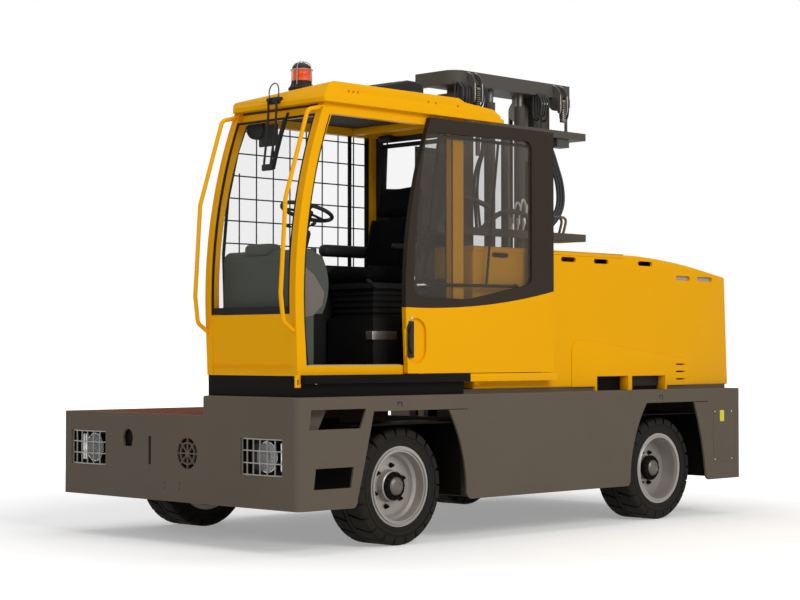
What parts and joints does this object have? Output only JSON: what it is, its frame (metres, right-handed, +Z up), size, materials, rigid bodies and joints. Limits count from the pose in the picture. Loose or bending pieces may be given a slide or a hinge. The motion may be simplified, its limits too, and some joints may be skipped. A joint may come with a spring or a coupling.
{
  "type": "side loader forklift",
  "caption": "Electric side loader forklift with a left-hand cab, load decks, and a mast that reaches out sideways between the axles.",
  "frame": {"origin": "middle of the bounding box on the ground", "axes": "+X forwards to the cab end, +Y to the left (cab side), +Z up; the forks point to -Y"},
  "size_m": [5.2697, 2.7, 3.585],
  "materials": {
    "frame_paint": "warm grey satin paint",
    "mast_paint": "grey satin paint",
    "yellow_paint": "gloss yellow paint",
    "black_steel": "black satin paint",
    "deck_boards": "red-brown phenolic coated boards",
    "black_plastic": "black moulded plastic",
    "grey_plastic": "grey moulded plastic",
    "clear_glass": "clear glazing",
    "tinted_glass": "tinted glazing",
    "amber_lens": "orange lens",
    "seat_cloth": "black seat cloth",
    "lamp_body": "lamp housing with clear lens",
    "battery_case": "battery tray",
    "chrome_rod": "hard chrome",
    "chain_steel": "oiled chain",
    "fork_steel": "black forged steel",
    "tyre_rubber": "black rubber",
    "rim_silver": "silver paint"
  },
  "bodies": {
    "chassis": {"main_frame": "frame_paint", "right_skirts": "frame_paint", "well_frame": "frame_paint", "deck_boards": "deck_boards", "wheel_liners": "black_steel", "front_axle": "black_steel", "rear_axle": "black_steel", "cab_base": "black_steel", "cab_frame": "yellow_paint", "cab_front_panel": "yellow_paint", "cab_rear_wall": "black_plastic", "cab_side_wall": "yellow_paint", "cab_windows": "clear_glass", "window_guard": "black_steel", "cab_roof": "yellow_paint", "roof_unit": "black_plastic", "beacon": "amber_lens", "dash": "grey_plastic", "steering_gear": "black_plastic", "seat_base": "black_plastic", "seat_cushion": "seat_cloth", "seat_back": "seat_cloth", "handrails": "yellow_paint", "headlamps": "lamp_body", "lamp_guards": "black_steel", "door_rail": "black_steel", "battery_hood": "yellow_paint", "hood_base": "black_steel", "battery": "battery_case"},
    "reach_frame": {"reach_carriage": "mast_paint", "outer_mast": "mast_paint", "lift_barrels": "mast_paint"},
    "upper_mast": {"inner_mast": "mast_paint", "lift_rods": "chrome_rod", "lift_chains": "chain_steel"},
    "carriage": {"lift_carriage": "mast_paint"},
    "tilt_rods": {"tilt_rods": "chrome_rod"},
    "fork_frame": {"fork_frame": "mast_paint"},
    "fork_front": {"fork_front": "fork_steel"},
    "fork_rear": {"fork_rear": "fork_steel"},
    "door": {"door_panel": "yellow_paint", "door_frame": "black_steel", "door_window": "tinted_glass"},
    "wheel_fl": {"tyre_fl": "tyre_rubber", "rim_fl": "rim_silver"},
    "wheel_fr": {"tyre_fr": "tyre_rubber", "rim_fr": "rim_silver"},
    "wheel_rl": {"tyre_rl": "tyre_rubber", "rim_rl": "rim_silver"},
    "wheel_rr": {"tyre_rr": "tyre_rubber", "rim_rr": "rim_silver"},
    "knuckle_rl": {"knuckle_rl": "black_steel"},
    "knuckle_rr": {"knuckle_rr": "black_steel"},
    "steer_rod": {"steer_rod": "chrome_rod"}
  },
  "joints": [
    {"name": "reach_slide", "type": "slide", "parent": "chassis", "child": "reach_frame", "axis": [0, -1, 0], "range_m": [0, 1.6]},
    {"name": "mast_lift", "type": "slide", "parent": "reach_frame", "child": "upper_mast", "axis": [0, 0, 1], "range_m": [0, 2.1]},
    {"name": "carriage_lift", "type": "slide", "parent": "upper_mast", "child": "carriage", "axis": [0, 0, 1], "range_m": [0, 2.1]},
    {"name": "fork_tilt", "type": "hinge", "parent": "carriage", "child": "fork_frame", "pos_m": [-0.195, 0.385, 1.075], "axis": [1, 0, 0], "range_deg": [-5, 3]},
    {"name": "tilt_rod_slide", "type": "slide", "parent": "carriage", "child": "tilt_rods", "axis": [0, -1, 0], "range_m": [-0.026, 0.043]},
    {"name": "fork_front_slide", "type": "slide", "parent": "fork_frame", "child": "fork_front", "axis": [1, 0, 0], "range_m": [-0.075, 0.165]},
    {"name": "fork_rear_slide", "type": "slide", "parent": "fork_frame", "child": "fork_rear", "axis": [1, 0, 0], "range_m": [-0.165, 0.075]},
    {"name": "door_slide", "type": "slide", "parent": "chassis", "child": "door", "axis": [1, 0, 0], "range_m": [0, 1]},
    {"name": "spin_fl", "type": "hinge", "parent": "chassis", "child": "wheel_fl", "pos_m": [1.453, 1.086, 0.425], "axis": [0, 1, 0], "continuous": true},
    {"name": "spin_fr", "type": "hinge", "parent": "chassis", "child": "wheel_fr", "pos_m": [1.453, -1.086, 0.425], "axis": [0, 1, 0], "continuous": true},
    {"name": "steer_rl", "type": "hinge", "parent": "chassis", "child": "knuckle_rl", "pos_m": [-1.617, 0.915, 0.425], "axis": [0, 0, 1], "range_deg": [-40, 40]},
    {"name": "spin_rl", "type": "hinge", "parent": "knuckle_rl", "child": "wheel_rl", "pos_m": [-1.617, 1.086, 0.425], "axis": [0, 1, 0], "continuous": true},
    {"name": "steer_rr", "type": "hinge", "parent": "chassis", "child": "knuckle_rr", "pos_m": [-1.617, -0.915, 0.425], "axis": [0, 0, 1], "range_deg": [-40, 40]},
    {"name": "spin_rr", "type": "hinge", "parent": "knuckle_rr", "child": "wheel_rr", "pos_m": [-1.617, -1.086, 0.425], "axis": [0, 1, 0], "continuous": true},
    {"name": "steer_rod_slide", "type": "slide", "parent": "chassis", "child": "steer_rod", "axis": [0, 1, 0], "range_m": [-0.125, 0.125]}
  ],
  "couplings": [
    {"joint": "carriage_lift", "follows": "mast_lift", "ratio": 1},
    {"joint": "tilt_rod_slide", "follows": "fork_tilt", "m_per_rad": -0.475},
    {"joint": "steer_rr", "follows": "steer_rl", "ratio": 1},
    {"joint": "steer_rod_slide", "follows": "steer_rl", "m_per_rad": 0.17}
  ]
}
